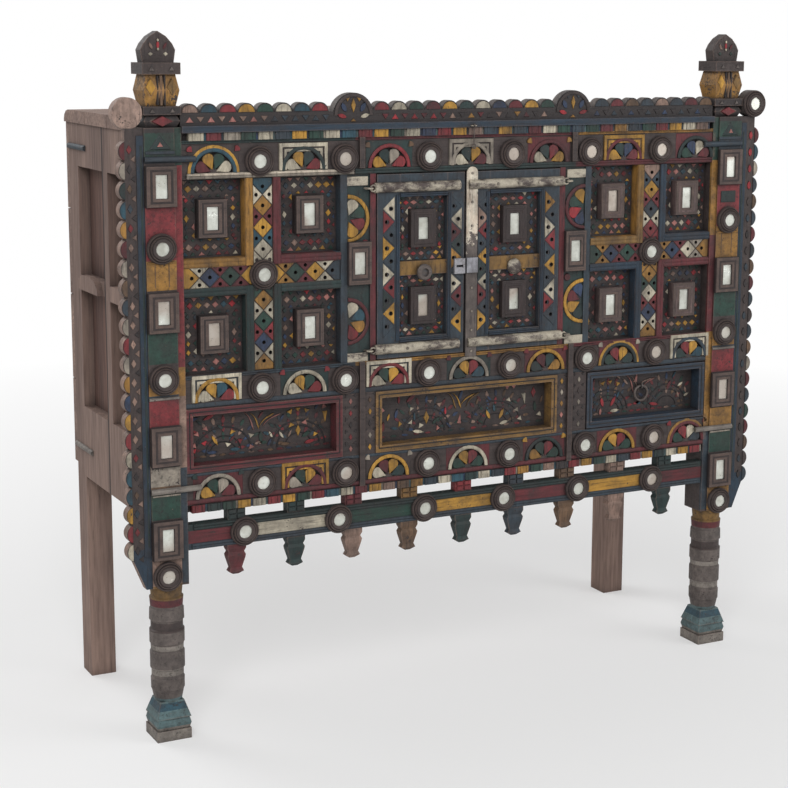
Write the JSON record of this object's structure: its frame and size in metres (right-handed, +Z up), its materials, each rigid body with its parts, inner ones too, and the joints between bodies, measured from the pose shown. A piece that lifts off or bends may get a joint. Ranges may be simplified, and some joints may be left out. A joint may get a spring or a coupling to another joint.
{
  "type": "dowry chest",
  "caption": "Tall carved and painted wooden cabinet chest on turned front legs, with mirror roundels, pierced bays, hinged doors, a low drawer, finials and a scalloped crest",
  "frame": {"origin": "centre of the bounding box in plan, on the floor under the feet", "axes": "+X to the right along the front, +Y from the front to the back, +Z up; the front faces -Y"},
  "size_m": [1.5219, 0.522, 1.407],
  "materials": {
    "carved_wood": "dark, dry, chip-carved and worn",
    "red_paint": "worn matt maroon paint on wood",
    "ochre_paint": "worn matt ochre paint on wood",
    "green_paint": "worn matt green paint on wood",
    "blue_paint": "worn matt blue paint on wood",
    "cream_paint": "worn matt cream paint on wood",
    "bare_wood": "dry bare boards",
    "iron": "dark wrought iron with old paint",
    "mirror_glass": "old silvered glass"
  },
  "bodies": {
    "chest": {"back_boards": "bare_wood", "back_frame": "bare_wood", "bay_mouldings": "green_paint", "bottom_rail": "red_paint", "corner_straps": "iron", "cornice": "blue_paint", "crest_board": "red_paint", "drawer_case": "bare_wood", "floor_boards": "bare_wood", "frieze_rail": "ochre_paint", "front_uprights": "carved_wood", "iron_staples": "iron", "left_bay_lattice": "green_paint", "left_bay_panels": "carved_wood", "left_finial": "ochre_paint", "left_front_post": "red_paint", "left_jamb": "blue_paint", "left_rear_post": "bare_wood", "left_side_frame": "bare_wood", "left_side_panels": "bare_wood", "left_wing": "blue_paint", "lower_dentils": "green_paint", "lower_rail": "ochre_paint", "middle_rail": "ochre_paint", "mirror_frames": "cream_paint", "mirrors": "mirror_glass", "pendants": "red_paint", "right_bay_lattice": "green_paint", "right_bay_panels": "carved_wood", "right_finial": "ochre_paint", "right_front_post": "red_paint", "right_jamb": "blue_paint", "right_rear_post": "bare_wood", "right_side_frame": "bare_wood", "right_side_panels": "bare_wood", "right_wing": "blue_paint", "roundels": "cream_paint", "row_frames": "red_paint", "row_panels": "carved_wood", "spacer_blocks": "green_paint", "top_boards": "bare_wood", "upper_dentils": "red_paint"},
    "left_door": {"left_door_frame": "ochre_paint", "left_door_panels": "carved_wood", "left_door_mirrors": "mirror_glass", "left_door_bars": "iron", "left_door_boss": "iron", "hasp_plate": "iron"},
    "right_door": {"right_door_frame": "carved_wood", "right_door_panels": "carved_wood", "right_door_mirrors": "mirror_glass", "right_door_bars": "iron", "right_door_boss": "iron", "closing_strap": "iron"},
    "drawer": {"drawer_frame": "blue_paint", "drawer_panel": "carved_wood", "drawer_box": "bare_wood", "pull_staple": "iron"},
    "drawer_pull": {"pull_ring": "iron"},
    "door_catch": {"catch_hook": "iron"}
  },
  "joints": [
    {"name": "left_door_hinge", "type": "hinge", "parent": "chest", "child": "left_door", "pos_m": [-0.225, -0.252, 0.7635], "axis": [0, 0, -1], "range_deg": [0, 110]},
    {"name": "right_door_hinge", "type": "hinge", "parent": "chest", "child": "right_door", "pos_m": [0.245, -0.252, 0.7635], "axis": [0, 0, 1], "range_deg": [0, 110]},
    {"name": "drawer_slide", "type": "slide", "parent": "chest", "child": "drawer", "axis": [0, -1, 0], "range_m": [0, 0.3]},
    {"name": "ring_swing", "type": "hinge", "parent": "drawer", "child": "drawer_pull", "pos_m": [0.46475, -0.2233, 0.6275], "axis": [-1, 0, 0], "range_deg": [0, 90]},
    {"name": "catch_swing", "type": "hinge", "parent": "chest", "child": "door_catch", "pos_m": [0.01, -0.2565, 1.21825], "axis": [-1, 0, 0], "range_deg": [0, 60]}
  ]
}
